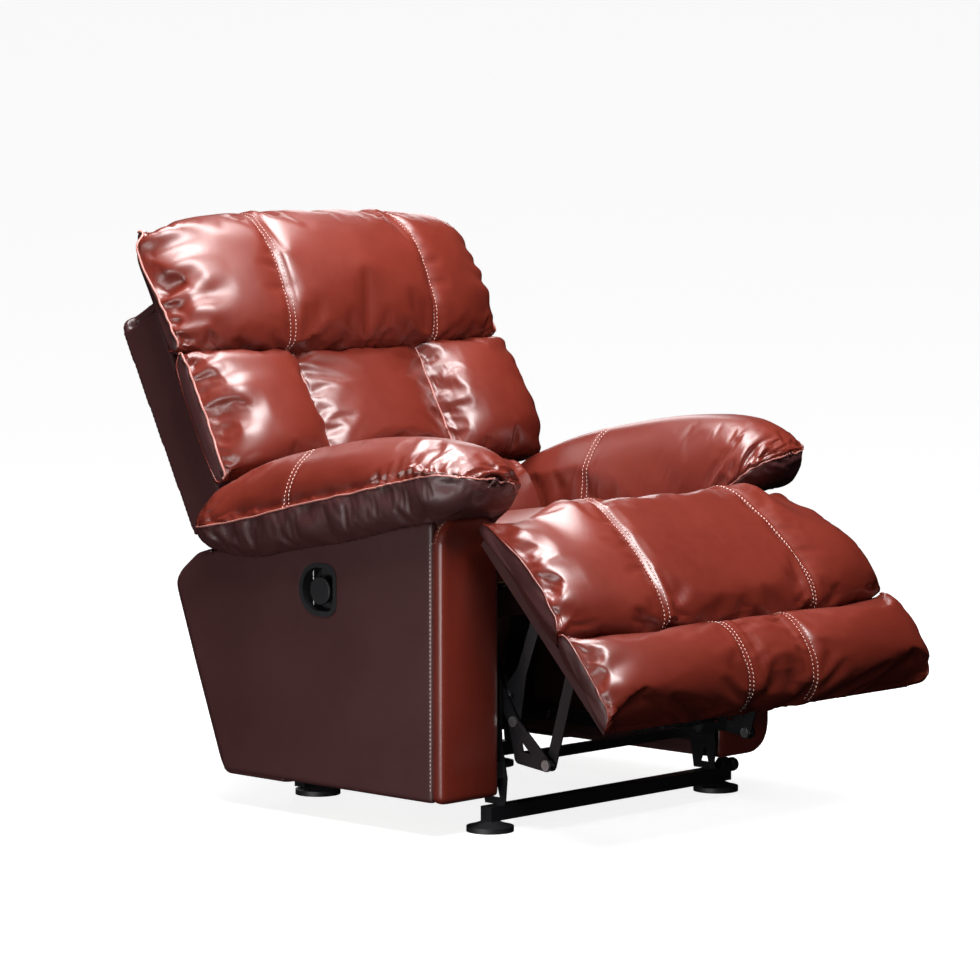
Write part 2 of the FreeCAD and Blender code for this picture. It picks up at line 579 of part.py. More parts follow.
save_back("back_top_panel", box((-half_shell + shell_corner, half_shell - shell_corner),
                                (CUSHION_REAR + 2, rear_inner), (SHELL_TOP - SHELL_BOARD, SHELL_TOP)))
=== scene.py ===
import json
import math

import bmesh
import bpy
import numpy as np
from mathutils import Matrix, Vector


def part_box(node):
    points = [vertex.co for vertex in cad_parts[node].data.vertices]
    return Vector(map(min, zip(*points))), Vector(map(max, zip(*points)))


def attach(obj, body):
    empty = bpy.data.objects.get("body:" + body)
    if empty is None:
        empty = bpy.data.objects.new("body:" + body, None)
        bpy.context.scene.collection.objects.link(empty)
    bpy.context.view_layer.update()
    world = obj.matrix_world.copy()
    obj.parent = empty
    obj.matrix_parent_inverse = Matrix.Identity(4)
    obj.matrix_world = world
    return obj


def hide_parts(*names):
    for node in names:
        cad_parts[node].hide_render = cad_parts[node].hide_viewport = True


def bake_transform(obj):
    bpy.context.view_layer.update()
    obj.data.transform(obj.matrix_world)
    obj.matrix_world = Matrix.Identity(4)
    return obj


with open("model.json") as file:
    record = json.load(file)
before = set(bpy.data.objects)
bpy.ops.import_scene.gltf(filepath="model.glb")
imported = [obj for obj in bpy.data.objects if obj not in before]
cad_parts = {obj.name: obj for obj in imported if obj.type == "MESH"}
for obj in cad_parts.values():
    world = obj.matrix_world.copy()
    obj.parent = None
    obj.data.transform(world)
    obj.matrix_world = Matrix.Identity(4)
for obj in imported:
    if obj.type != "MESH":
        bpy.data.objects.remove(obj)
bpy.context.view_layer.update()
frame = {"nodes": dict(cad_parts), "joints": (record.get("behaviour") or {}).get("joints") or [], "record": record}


# ---- Steel base and linkage --------------------------------------------------------------------------
# The base rails, side plates and the footrest's linkage are pressed steel under gloss black paint, riveted
# and bolted together. Pins, screws and seat springs are zinc plated.
class Value:
    """One output of a shader node. Python's operators on it add Math nodes."""

    def __init__(self, finish, socket):
        self.finish, self.socket = finish, socket

    def maths(self, operation, first, second):
        return self.finish.node("ShaderNodeMath", {"operation": operation}, {0: first, 1: second})[0]

    def __add__(self, other):
        return self.maths("ADD", self, other)

    def __radd__(self, other):
        return self.maths("ADD", other, self)

    def __sub__(self, other):
        return self.maths("SUBTRACT", self, other)

    def __rsub__(self, other):
        return self.maths("SUBTRACT", other, self)

    def __mul__(self, other):
        return self.maths("MULTIPLY", self, other)

    def __rmul__(self, other):
        return self.maths("MULTIPLY", other, self)


class Finish:
    """A material being mixed, with its Principled shader ready."""

    def __init__(self, name, **sockets):
        self.material = bpy.data.materials.new(name)
        self.material.use_nodes = True
        self.tree = self.material.node_tree
        self.shader = self.tree.nodes["Principled BSDF"]
        for socket, value in sockets.items():
            self.put(self.shader.inputs[socket.replace("_", " ")], value)

    def put(self, socket, value):
        """Sets a socket to a number or colour, or links a value to it."""
        if isinstance(value, Value):
            self.tree.links.new(value.socket, socket)
        else:
            socket.default_value = value

    def node(self, kind, settings=None, inputs=None):
        """Adds a node, with its settings and then its sockets, and gives back its outputs."""
        made = self.tree.nodes.new(kind)
        for name, value in (settings or {}).items():
            setattr(made, name, value)
        for name, value in (inputs or {}).items():
            self.put(made.inputs[name], value)
        return [Value(self, output) for output in made.outputs if output.enabled]

    def place(self):
        """Where a point of the piece is, in metres."""
        return self.node("ShaderNodeTexCoord")[3]

    def noise(self, scale, detail=3.0):
        sockets = {"Vector": self.place(), "Scale": scale, "Detail": detail}
        return self.node("ShaderNodeTexNoise", {}, sockets)[0]

    def mix(self, factor, first, second):
        return self.node("ShaderNodeMix", {"data_type": "RGBA"}, {0: factor, 6: first, 7: second})[0]

    def bump(self, height, strength, distance):
        self.put(self.shader.inputs["Normal"], self.node("ShaderNodeBump", {}, {
            "Height": height, "Strength": strength, "Distance": distance})[0])


def finish_nodes(material, slot):
    """Gives a finish to every part of the chair that the record puts in a material slot."""
    for row in frame["record"]["subparts"]:
        if row["material_slot"] == slot:
            for place in frame["nodes"][row["node"]].material_slots:
                place.material = material


black_paint = Finish("black_paint", Base_Color=(0.012, 0.012, 0.014, 1), Roughness=0.3, Coat_Weight=0.5)
speckle = black_paint.noise(300.0, 3.0)
black_paint.put(black_paint.shader.inputs["Roughness"], 0.26 + speckle * 0.16)
black_paint.bump(speckle, 0.15, 0.0004)
finish_nodes(black_paint.material, "steel")
zinc = Finish("zinc_plate", Base_Color=(0.62, 0.63, 0.64, 1), Metallic=1.0, Roughness=0.3)
brushed = zinc.noise(220.0, 4.0)
zinc.put(zinc.shader.inputs["Roughness"], 0.22 + brushed * 0.25)
zinc.bump(brushed, 0.1, 0.0003)
finish_nodes(zinc.material, "zinc_steel")

# ---- Timber frames -----------------------------------------------------------------------------------
# The arms, the back and the seat's rear rail are plywood and softwood, glued and stapled. Little of them
# shows once the hides are on.
ply = Finish("plywood", Roughness=0.65)
grain = ply.node("ShaderNodeTexWave", {"wave_type": "BANDS", "bands_direction": "Z"}, {
    "Vector": ply.place(), "Scale": 18.0, "Distortion": 6.0, "Detail": 4.0})[0]
ply.put(ply.shader.inputs["Base Color"], ply.mix(grain, (0.44, 0.29, 0.15, 1), (0.60, 0.43, 0.25, 1)))
ply.bump(grain, 0.2, 0.0006)
finish_nodes(ply.material, "plywood")

# ---- Release cup -------------------------------------------------------------------------------------
# A cup moulded in black plastic and let into the right arm's outer side, with a round paddle on a pin
# inside it. Pulling the paddle lets the footrest go.
moulded = Finish("moulded_plastic", Base_Color=(0.016, 0.016, 0.018, 1), Roughness=0.42)
texture = moulded.noise(650.0, 2.0)
moulded.put(moulded.shader.inputs["Roughness"], 0.36 + texture * 0.2)
moulded.bump(texture, 0.25, 0.0003)
finish_nodes(moulded.material, "black_plastic")

# ---- Boards under hide -------------------------------------------------------------------------------
# The boards that show have hide glued straight on: a glazed, red-brown corrected-grain hide in front, as on
# the cushions, and a plainer, darker split at the sides, inside and behind.


def hide_finish(name, light, dark, roughness, coat):
    """Leather: mottled dye, fine pebble grain and a glazed top coat."""
    hide = Finish(name, IOR=1.5, Coat_Weight=coat, Coat_Roughness=0.33)
    cloud = hide.noise(5.0, 4.0)
    fine = hide.noise(60.0, 2.0)
    mottle = (cloud - 0.5) * 1.2 + (fine - 0.5) * 0.25 + 0.5
    hide.put(hide.shader.inputs["Base Color"], hide.mix(mottle, dark, light))
    hide.put(hide.shader.inputs["Roughness"], roughness + (cloud - 0.5) * 0.12 + (fine - 0.5) * 0.06)
    pebble = hide.node("ShaderNodeTexVoronoi", {"feature": "DISTANCE_TO_EDGE"}, {
        "Vector": hide.place(), "Scale": 520.0})[0]
    crumple = hide.noise(26.0, 5.0)
    hide.bump(pebble * 0.5 + fine * 0.5 + crumple * 1.2, 0.22, 0.0012)
    return hide.material


glazed_hide = hide_finish("glazed_hide", (0.165, 0.019, 0.0095, 1), (0.100, 0.010, 0.005, 1), 0.40, 0.6)
panel_hide = hide_finish("panel_hide", (0.072, 0.022, 0.022, 1), (0.048, 0.014, 0.015, 1), 0.46, 0.2)
finish_nodes(glazed_hide, "leather")
finish_nodes(panel_hide, "panel_leather")

# ---- Outer back --------------------------------------------------------------------------------------
# The shell behind the cushions is boards under a thin wadding, with the plainer hide pulled over them so that
# the edges are rounded. A row of top stitches runs round its rear face.
MM = 0.001
BACK_SLOPE = 28.0
back_hinge = next(joint for joint in frame["joints"] if joint["name"] == "back_recline")
on_back = Matrix.Translation(back_hinge["pos_m"]) @ Matrix.Rotation(-math.radians(BACK_SLOPE), 4, "X")
HIDE_VOXEL, WADDING = 0.0045, 0.0015
STITCH_LENGTH, STITCH_GAP, THREAD_RADIUS = 0.0042, 0.0028, 0.0006
THREAD_SIDES = 6
thread = Finish("thread", Base_Color=(0.72, 0.50, 0.45, 1), Roughness=0.6)
thread.bump(thread.noise(900.0, 1.0), 0.4, 0.0004)


def laid(points, matrix):
    """Points in a piece's own millimetres, as an array of places in the chair."""
    flat = np.asarray(points, float).reshape(-1, 3) * MM
    turn = np.array(matrix.to_3x3())
    return (flat @ turn.T + np.array(matrix.translation)).reshape(np.shape(points))


def mesh_piece(name, points, faces, material, body):
    """A smooth-shaded mesh in one material. It rides on `body` unless that is None."""
    mesh = bpy.data.meshes.new(name)
    mesh.from_pydata([tuple(point) for point in points], [], [tuple(int(i) for i in face) for face in faces])
    mesh.update()
    mesh.polygons.foreach_set("use_smooth", [True] * len(mesh.polygons))
    piece = bpy.data.objects.new(name, mesh)
    bpy.context.scene.collection.objects.link(piece)
    mesh.materials.append(material)
    if body:
        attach(piece, body)
    return piece


def stitch_row(name, points, lifts, body):
    """Top stitching: short thread stitches along a line of points, each lifted off the hide."""
    points, lifts = np.asarray(points), np.asarray(lifts)
    steps = np.linalg.norm(np.diff(points, axis=0), axis=1)
    run = np.concatenate([[0], np.cumsum(steps)])
    verts, faces = [], []
    starts = np.arange(0, run[-1] - STITCH_LENGTH, STITCH_LENGTH + STITCH_GAP)

    def at(distance):
        place = np.array([np.interp(distance, run, points[:, k]) for k in range(3)])
        lift = np.array([np.interp(distance, run, lifts[:, k]) for k in range(3)])
        return place, lift / max(np.linalg.norm(lift), 1e-9)

    for start in starts:
        base = len(verts)
        for part, thick in ((0.0, 0.35), (0.25, 1.0), (0.75, 1.0), (1.0, 0.35)):
            place, up = at(start + STITCH_LENGTH * part)
            ahead = at(start + STITCH_LENGTH * part + 1e-4)[0] - place
            ahead /= max(np.linalg.norm(ahead), 1e-9)
            side = np.cross(ahead, up)
            centre = place + up * THREAD_RADIUS * (0.9 if thick == 1 else 0.2)
            for turn in range(THREAD_SIDES):
                angle = turn * math.pi / 3
                spoke = side * math.cos(angle) + up * math.sin(angle)
                verts.append(centre + spoke * THREAD_RADIUS * thick)
        for ring in range(3):
            for turn in range(THREAD_SIDES):
                k = (turn + 1) % THREAD_SIDES
                low = base + ring * THREAD_SIDES
                faces.append((low + turn, low + k, low + THREAD_SIDES + k, low + THREAD_SIDES + turn))
        faces.append(tuple(base + turn for turn in range(5, -1, -1)))
        faces.append(tuple(base + 18 + turn for turn in range(THREAD_SIDES)))
    return mesh_piece(name, verts, faces, thread.material, body)


def upholster(name, nodes, body, material=panel_hide, rounds=6):
    """A hide pulled over one or more boards: their shapes made one, with soft edges."""
    work = bmesh.new()
    for node in nodes:
        work.from_mesh(frame["nodes"][node].data)
    mesh = bpy.data.meshes.new(name)
    work.to_mesh(mesh)
    work.free()
    piece = bpy.data.objects.new(name, mesh)
    bpy.context.scene.collection.objects.link(piece)
    remesh = piece.modifiers.new("hide", "REMESH")
    remesh.mode, remesh.voxel_size, remesh.use_smooth_shade = "VOXEL", HIDE_VOXEL, True
    smooth = piece.modifiers.new("pulled", "SMOOTH")
    smooth.factor, smooth.iterations = 0.5, rounds
    grown = piece.modifiers.new("padding", "DISPLACE")
    grown.strength, grown.mid_level = WADDING, 0
    final = bpy.data.meshes.new_from_object(piece.evaluated_get(bpy.context.evaluated_depsgraph_get()))
    piece.modifiers.clear()
    piece.data = final
    final.name = name
    final.materials.clear()
    final.materials.append(material)
    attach(piece, body)
    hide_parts(*nodes)
    return piece


upholster("outer_back_cover", ["back_rear_panel", "back_side_panel_left", "back_side_panel_right",
                               "back_top_panel"], "back")
upholster("lower_back_panel_cover", ["back_lower_panel"], "back")
SHELL_HALF, SHELL_INSET, SHELL_REAR = 360.0, 16.0, 135.8
SHELL_LOW, SHELL_TURN, SHELL_HIGH = 232, 600, 620
edge = SHELL_HALF - SHELL_INSET
rise = np.linspace(SHELL_LOW, SHELL_TURN, 40)
outline = [(-edge, z) for z in rise]
outline += [(x, SHELL_HIGH) for x in np.linspace(-edge + 20, edge - 20, 60)]
outline += [(edge, z) for z in rise[::-1]]
line = laid([(x, SHELL_REAR, z) for x, z in outline], on_back)
rearward = np.array(on_back.to_3x3()) @ np.array([0.0, 1.0, 0.0])
stitch_row("outer_back_stitches", line, [rearward] * len(line), "back")

# ---- Arm panels --------------------------------------------------------------------------------------
# Each arm's outer side and front are boards under a thin layer of foam. The front's hide laps the side's
# with a row of stitches just behind the corner, and one more strip of hide closes the arm behind.
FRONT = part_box("arm_front_left")[0][1]
on_base = Matrix.Translation((0, FRONT, 0))
for hand in ("left", "right"):
    upholster("arm_side_cover_" + hand, ["arm_outer_panel_" + hand], "base", rounds=4)
    upholster("arm_front_cover_" + hand, ["arm_front_" + hand], "base", glazed_hide, rounds=10)
upholster("rear_panel_cover", ["rear_panel"], "base")
ARM_REAR = ((380, 58), (526, 58), (540, 80), (600, 236), (650, 372), (651, 384), (638, 402), (596, 434),
            (560, 444))
ARM_REAR_ACROSS = (284, 284.5, 288, 305, 330, 360, 390, 408, 417, 418.5, 419)
ARM_REAR_LIFT = (-3, 0, 1.6, 2.6, 3.4, 3.6, 3.4, 2.6, 1.6, 0, -3)
ARM_REAR_THICK = 4


def ring_lengths(ring):
    """Distance round a ring of points from its first."""
    return np.concatenate([[0], np.cumsum(np.linalg.norm(np.diff(ring, axis=0), axis=1))])


def eased_path(corners, count, rounds):
    """`count` even places along a line of corners, with the corners eased off."""
    corners = np.array(corners, float)
    steps = ring_lengths(corners)
    places = np.linspace(0, steps[-1], count)
    path = np.column_stack([np.interp(places, steps, corners[:, k]) for k in (0, 1)])
    for repeat in range(rounds):
        path[1:-1] = (path[:-2] + 2 * path[1:-1] + path[2:]) / 4
    return path


def sheet_faces(rows, wide):
    """Quads between `rows` rows of `wide` points."""
    return [(i * wide + j, i * wide + j + 1, (i + 1) * wide + j + 1, (i + 1) * wide + j)
            for i in range(rows - 1) for j in range(wide - 1)]


def face_outward(piece):
    """Turns every face of a closed piece outward."""
    work = bmesh.new()
    work.from_mesh(piece.data)
    bmesh.ops.recalc_face_normals(work, faces=work.faces)
    work.to_mesh(piece.data)
    work.free()


def arm_rear_cover(hand, sign):
    """The hide that closes the arm behind and underneath, turned in between its two side boards."""
    path = eased_path(ARM_REAR, 120, 3)
    ahead = np.gradient(path, axis=0)
    out = np.column_stack([ahead[:, 1], -ahead[:, 0]]) / np.linalg.norm(ahead, axis=1, keepdims=True)
    points = []
    for inset in (0, -ARM_REAR_THICK):
        for place, away in zip(path, out):
            for x, lift in zip(ARM_REAR_ACROSS, ARM_REAR_LIFT):
                points.append((sign * x, *(place + away * (lift + inset))))
    tall, wide = len(path), len(ARM_REAR_ACROSS)
    count = tall * wide
    faces = []
    for quad in sheet_faces(tall, wide):
        faces += [quad, tuple(count + k for k in quad[::-1])]
    rim = [i * wide for i in range(tall)] + [(tall - 1) * wide + j for j in range(1, wide)]
    rim += [i * wide + wide - 1 for i in range(tall - 2, -1, -1)] + list(range(wide - 2, 0, -1))
    for here, there in zip(rim, rim[1:] + rim[:1]):
        faces.append((here, there, count + there, count + here))
    face_outward(mesh_piece("arm_rear_cover_" + hand, laid(points, on_base), faces, panel_hide, "base"))


FRONT_CORNER = 40.5
ARM_SIDE, ARM_TOP = 420.4, 530
STITCH_BEHIND = 26
for hand, sign in (("left", 1), ("right", -1)):
    arm_rear_cover(hand, sign)
    line = [(sign * ARM_SIDE, STITCH_BEHIND, z) for z in np.linspace(80, ARM_TOP - FRONT_CORNER, 40)]
    lift = [(sign, 0, 0)] * len(line)
    for angle in np.linspace(0.1, 1.5, 16):
        x = ARM_SIDE - FRONT_CORNER + (FRONT_CORNER + 0.4) * math.cos(angle)
        z = ARM_TOP - FRONT_CORNER + (FRONT_CORNER + 1.6) * math.sin(angle)
        line.append((sign * x, 12, z))
        lift.append((sign * math.cos(angle), 0, math.sin(angle)))
    stitch_row("arm_side_stitches_" + hand, laid(line, on_base), lift, "base")

# ---- Seat cushion ------------------------------------------------------------------------------------
# A foam slab on the seat springs in a sewn case of the glazed hide, crowned front to rear, with its front
# edge rolled down to the rail.
AROUND = 128
EACH = AROUND // 16
END_CROWD = 0.8
END_PUFF = 0.006


def closed_curve(corners, count):
    """`count` points round a closed smooth curve through the corners, by the corners' own spacing."""
    corners = np.asarray(corners, float)
    total = len(corners)
    place = np.arange(count) * total / count
    index = place.astype(int)
    t = (place - index)[:, None]
    before, start, end, after = (corners[(index + shift) % total] for shift in (-1, 0, 1, 2))
    return 0.5 * (2 * start + (end - before) * t + (2 * before - 5 * start + 4 * end - after) * t ** 2
                  + (3 * start - before - 3 * end + after) * t ** 3)


def places_of(piece):
    out = np.zeros(len(piece.data.vertices) * 3)
    piece.data.vertices.foreach_get("co", out)
    return out.reshape(-1, 3)


def put_places(piece, places):
    piece.data.vertices.foreach_set("co", places.reshape(-1))
    piece.data.update()


def normals_of(piece):
    out = np.zeros(len(piece.data.vertices) * 3)
    piece.data.vertex_normals.foreach_get("vector", out)
    return out.reshape(-1, 3)


def gathered_fractions(count, seams=()):
    """Places across a cushion, from -1 to 1: closer together near its ends, with one on each seam."""
    share = np.linspace(0, 1, count)
    eased = (1 - np.cos(math.pi * share)) / 2
    places = -1 + 2 * (share * (1 - END_CROWD) + eased * END_CROWD)
    for seam in seams:
        places[np.argmin(np.abs(places - seam))] = seam
    return places


def ring_faces(rings, around):
    """Quads between rings of `around` points."""
    faces = []
    for i in range(rings - 1):
        for j in range(around):
            k = (j + 1) % around
            faces.append((i * around + j, i * around + k, (i + 1) * around + k, (i + 1) * around + j))
    return faces


def sewn_case(name, rings, body, end_puff=END_PUFF):
    """A closed cover: rings of points in order across the piece, and an end panel at each side."""
    rings = np.asarray(rings)
    stations, around = rings.shape[:2]
    points = [rings.reshape(-1, 3)]
    faces = ring_faces(stations, around)
    total = stations * around
    for ring, outward, flip in ((0, rings[0] - rings[1], True), (stations - 1, rings[-1] - rings[-2], False)):
        loop = rings[ring]
        middle = loop.mean(0)
        away = outward.mean(0) / np.linalg.norm(outward.mean(0))
        base = np.arange(around) + ring * around
        for step, size in enumerate((0.86, 0.68, 0.46, 0.22)):
            inner = middle + (loop - middle) * size + away * end_puff * (1 - size ** 4)
            points.append(inner)
            fresh = np.arange(around) + total
            total += around
            for j in range(around):
                k = (j + 1) % around
                quad = (base[j], base[k], fresh[k], fresh[j])
                faces.append(quad[::-1] if flip else quad)
            base = fresh
        points.append((middle + away * end_puff)[None])
        for j in range(around):
            k = (j + 1) % around
            tri = (base[j], base[k], total)
            faces.append(tri[::-1] if flip else tri)
        total += 1
    piece = mesh_piece(name, np.concatenate(points), faces, glazed_hide, body)
    face_outward(piece)
    return piece


def reline(piece, stations, around, rows):
    """Gives the end panels, and the strips of the case that start on the given rows, the darker hide."""
    piece.data.materials.append(panel_hide)
    chosen = set(row % around for row in rows)
    for number, face in enumerate(piece.data.polygons):
        if number >= (stations - 1) * around or number % around in chosen:
            face.material_index = 1


class Cushion:
    """A sewn case on a grid: `stations` rings across the chair, each with the same `around` points."""

    def __init__(self, name, body, matrix, fractions, outline, half, rear=()):
        self.body, self.name = body, name
        rings = []
        for share in fractions:
            loop = closed_curve(outline(share), AROUND)
            width = share * half(loop[:, 0], loop[:, 1]) * np.ones(AROUND)
            rings.append(np.column_stack([width, loop]))
        self.fractions = np.asarray(fractions)
        self.shape = (len(fractions), AROUND)
        self.piece = sewn_case(name, laid(np.asarray(rings), matrix), body)
        reline(self.piece, *self.shape, rear)

    def grid(self):
        count = self.shape[0] * self.shape[1]
        return places_of(self.piece)[:count].reshape(*self.shape, 3)

    def facing(self):
        count = self.shape[0] * self.shape[1]
        return normals_of(self.piece)[:count].reshape(*self.shape, 3)

    def raise_by(self, rise):
        """Moves the grid out along its own normals by `rise` metres."""
        places = places_of(self.piece)
        count = self.shape[0] * self.shape[1]
        places[:count] += (self.facing() * rise[..., None]).reshape(-1, 3)
        put_places(self.piece, places)

    def station(self, share):
        return int(np.argmin(np.abs(self.fractions - share)))

    def from_side(self, side):
        """Distance over the cover from the first (0) or last (-1) ring, and along that ring."""
        grid = self.grid() if side == 0 else self.grid()[::-1]
        across = np.linalg.norm(np.diff(grid, axis=0), axis=2)
        away = np.concatenate([np.zeros((1, self.shape[1])), np.cumsum(across, axis=0)])
        along = np.broadcast_to(ring_lengths(grid[0]), self.shape)
        return (along, away) if side == 0 else (along, away[::-1])

    def line(self, share, rows):
        """A stretch of one ring: its places and the way the cover faces there."""
        station = self.station(share)
        rows = np.asarray(rows) % self.shape[1]
        return self.grid()[station, rows], self.facing()[station, rows]

    def pinned(self, rear_rows, seams=()):
        """Vertices held while stuffing: both end panels, the rear of every ring, and the cross seams."""
        held = np.zeros(self.shape, bool)
        held[[0, -1]] = True
        held[:, np.asarray(rear_rows) % self.shape[1]] = True
        for share in seams:
            held[self.station(share)] = True
        return self.held_and_ends(held)

    def held_and_ends(self, held):
        """The grid's held vertices, with all those of the two end panels."""
        return list(np.flatnonzero(held)) + list(range(held.size, len(self.piece.data.vertices)))


SEAT_HALF = 281.0
SEAT_FULL = np.array([
    (165, 416), (240, 416), (315, 418), (332, 436), (333, 470), (316, 492), (250, 503), (175, 508),
    (110, 508), (55, 503), (18, 490), (3, 466), (2, 440), (8, 420), (40, 416), (95, 416)], float)
SEAT_EDGE = np.array([
    (165, 416), (240, 416), (315, 418), (330, 430), (331, 455), (316, 476), (250, 484), (175, 487),
    (110, 487), (55, 483), (20, 474), (6, 456), (4, 438), (9, 420), (40, 416), (95, 416)], float)
seat = Cushion("seat_cover", "base", on_base, gathered_fractions(71),
               lambda share: SEAT_EDGE + (SEAT_FULL - SEAT_EDGE) * (1 - abs(share) ** 6) ** 0.5,
               lambda y, z: SEAT_HALF)
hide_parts("seat_cushion")

# ---- Lower back cushion ------------------------------------------------------------------------------
# The roll that fills the gap between the arms, down to the seat. It is one plain panel, stuffed with fibre
# and tucked under the wings.
CLOTH_FRAMES = 20
CLOTH_GROWTH = 0.03
LOWER_HALF = 266.0
LOWER_FULL = np.array([
    (28, 150), (28, 200), (10, 232), (-30, 240), (-75, 240), (-108, 226), (-124, 196), (-129, 160),
    (-127, 125), (-120, 95), (-104, 72), (-70, 62), (-30, 60), (6, 64), (24, 84), (28, 112)], float)
LOWER_EDGE = np.array([
    (28, 150), (28, 198), (12, 224), (-20, 232), (-55, 232), (-74, 220), (-82, 194), (-86, 160),
    (-86, 125), (-82, 98), (-72, 80), (-50, 72), (-20, 70), (6, 72), (24, 88), (28, 112)], float)


def puff(piece, pinned, pressure=3.5, limit=0.026):
    """Stuffing: the cover is held at its seams, blown out by its filling and left to settle as cloth."""
    before = places_of(piece)
    seam = piece.vertex_groups.new(name="seam")
    seam.add([int(i) for i in pinned], 1.0, "REPLACE")
    cloth = piece.modifiers.new("stuffing", "CLOTH")
    settings = cloth.settings
    settings.quality = 5
    settings.mass = 0.35
    settings.tension_stiffness = settings.compression_stiffness = 22
    settings.shear_stiffness = 10
    settings.bending_stiffness = 0.8
    settings.use_pressure = True
    settings.uniform_pressure_force = pressure
    settings.vertex_group_mass = "seam"
    settings.shrink_min = -CLOTH_GROWTH
    settings.effector_weights.gravity = 0
    cloth.collision_settings.use_collision = False
    cloth.point_cache.frame_start, cloth.point_cache.frame_end = 1, CLOTH_FRAMES
    scene = bpy.context.scene
    for number in range(1, CLOTH_FRAMES + 1):
        scene.frame_set(number)
    settled = piece.evaluated_get(bpy.context.evaluated_depsgraph_get()).data
    after = np.zeros(len(settled.vertices) * 3)
    settled.vertices.foreach_get("co", after)
    shift = after.reshape(-1, 3) - before
    size = np.linalg.norm(shift, axis=1, keepdims=True)
    piece.modifiers.remove(cloth)
    piece.vertex_groups.remove(seam)
    scene.frame_set(1)
    put_places(piece, before + shift * np.minimum(1, limit / np.maximum(size, 1e-9)))


def lower_outline(share):
    return LOWER_EDGE + (LOWER_FULL - LOWER_EDGE) * (1 - abs(share) ** 5) ** 0.5


lower_back = Cushion("lower_back_cover", "back", on_back, gathered_fractions(81), lower_outline,
                     lambda y, z: LOWER_HALF)
puff(lower_back.piece, lower_back.pinned(range(-3 * EACH, 4 * EACH)), pressure=2.0, limit=0.008)
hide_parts("lower_back_cushion")

# ---- Seat apron --------------------------------------------------------------------------------------
# A strip of the darker hide closes the gap between the seat and the lower back cushion. It is stapled under
# both and hangs slack between them, which lets the back lean over.
APRON_HALF = 264
APRON_LINE = ((332, 432), (336, 412), (348, 396), (366, 388), (386, 387), (404, 392), (422, 402))
apron_path = eased_path(APRON_LINE, 37, 6)
columns = np.linspace(-APRON_HALF, APRON_HALF, 61)
ripple = [3.0 * math.sin(x / 31) + 1.6 * math.sin(x / 13 + 1) for x in columns]
fall = np.sin(np.linspace(0, math.pi, len(apron_path)))
points = []
for (y, z), dip in zip(apron_path, fall):
    points += [(x, y, z + wave * dip) for x, wave in zip(columns, ripple)]
apron_faces = sheet_faces(len(apron_path), len(columns))
apron = mesh_piece("seat_apron", laid(points, on_base), apron_faces, panel_hide, None)
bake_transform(apron)

# ---- Wing and lumbar cushions ------------------------------------------------------------------------
# Two full wings stand proud of a flatter lumbar panel between them, all stuffed with fibre. The three are
# sewn together along piped seams, and gathered into the piping down the outer sides.
BACK_HALF = 401.0
WING_HALF = BACK_HALF - 2
WING_SEAM = 155.0
PIPING, THIN_PIPING = 0.0021, 0.0016
# Painted highlight: the piping's pale pink base colour stands in for the light its glazed cord catches along the
# seams.
welt_hide = hide_finish("welt_hide", (0.50, 0.21, 0.18, 1), (0.34, 0.12, 0.10, 1), 0.36, 0.3)
WING_FULL = np.array([
    (34, 372), (34, 430), (28, 482), (0, 499), (-34, 500), (-60, 488), (-80, 458), (-92, 420),
    (-98, 378), (-101, 334), (-98, 294), (-84, 262), (-52, 250), (-10, 250), (26, 262), (34, 310)], float)
WING_OUTER = np.array([
    (0, 372), (-1, 430), (-6, 474), (-14, 490), (-22, 498), (-30, 488), (-33, 458), (-33, 420),
    (-34, 378), (-32, 334), (-31, 296), (-30, 268), (-24, 256), (-14, 254), (-4, 264), (0, 310)], float)
WING_INNER = np.array([
    (34, 372), (34, 430), (30, 474), (0, 490), (-20, 498), (-42, 488), (-47, 458), (-48, 420),
    (-49, 378), (-50, 334), (-50, 296), (-48, 268), (-36, 256), (0, 254), (28, 264), (34, 310)], float)
LUMBAR_FULL = WING_INNER + (WING_FULL - WING_INNER) * 0.36
WING_REAR = range(-3 * EACH, 4 * EACH)


def gathers(chance, along, away, start, end, spacing, depth, length):
    """How far the cover falls or rises where it is gathered into a seam: `along` the seam, `away` from it."""
    rise = np.zeros(np.shape(along))
    at = start
    while at < end:
        width = spacing * chance.uniform(0.30, 0.5)
        reach = length * chance.uniform(0.45, 1.25)
        slant = chance.uniform(-0.25, 0.25)
        deep = depth * chance.uniform(0.35, 1.25)
        part = away / reach
        across = (along - at - slant * away) / (width * (1 + 0.7 * np.clip(part, 0, 2)))
        fade = np.clip(1 - part, 0, 1) ** 0.9 * np.clip(part / 0.22 + 0.25, 0, 1)
        rise += deep * fade * (0.35 * np.exp(-((np.abs(across) - 1.9) / 0.9) ** 2) - np.exp(-across ** 2))
        at += spacing * chance.uniform(0.6, 1.5)
    return rise


def welt(name, points, body, radius=PIPING, material=welt_hide):
    """Piping: a cord in a narrow strip of hide, sewn into a seam. Its default hide is pale pink, a painted
    highlight along the cord.
    """
    curve = bpy.data.curves.new(name, "CURVE")
    curve.dimensions = "3D"
    curve.bevel_depth = radius
    curve.bevel_resolution = 3
    spline = curve.splines.new("POLY")
    spline.points.add(len(points) - 1)
    for target, point in zip(spline.points, points):
        target.co = (*point, 1)
    curve.materials.append(material)
    piece = bpy.data.objects.new(name, curve)
    bpy.context.scene.collection.objects.link(piece)
    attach(piece, body)


def wing_outline(share):
    outer = 0.5 + share / 2
    edge = WING_INNER + (WING_OUTER - WING_INNER) * outer
    fill = (1 - abs(share) ** 2.3) ** 0.6
    return edge + (WING_FULL - edge) * fill


def lumbar_outline(share):
    return WING_INNER + (LUMBAR_FULL - WING_INNER) * (1 - abs(share) ** 2.4) ** 0.6


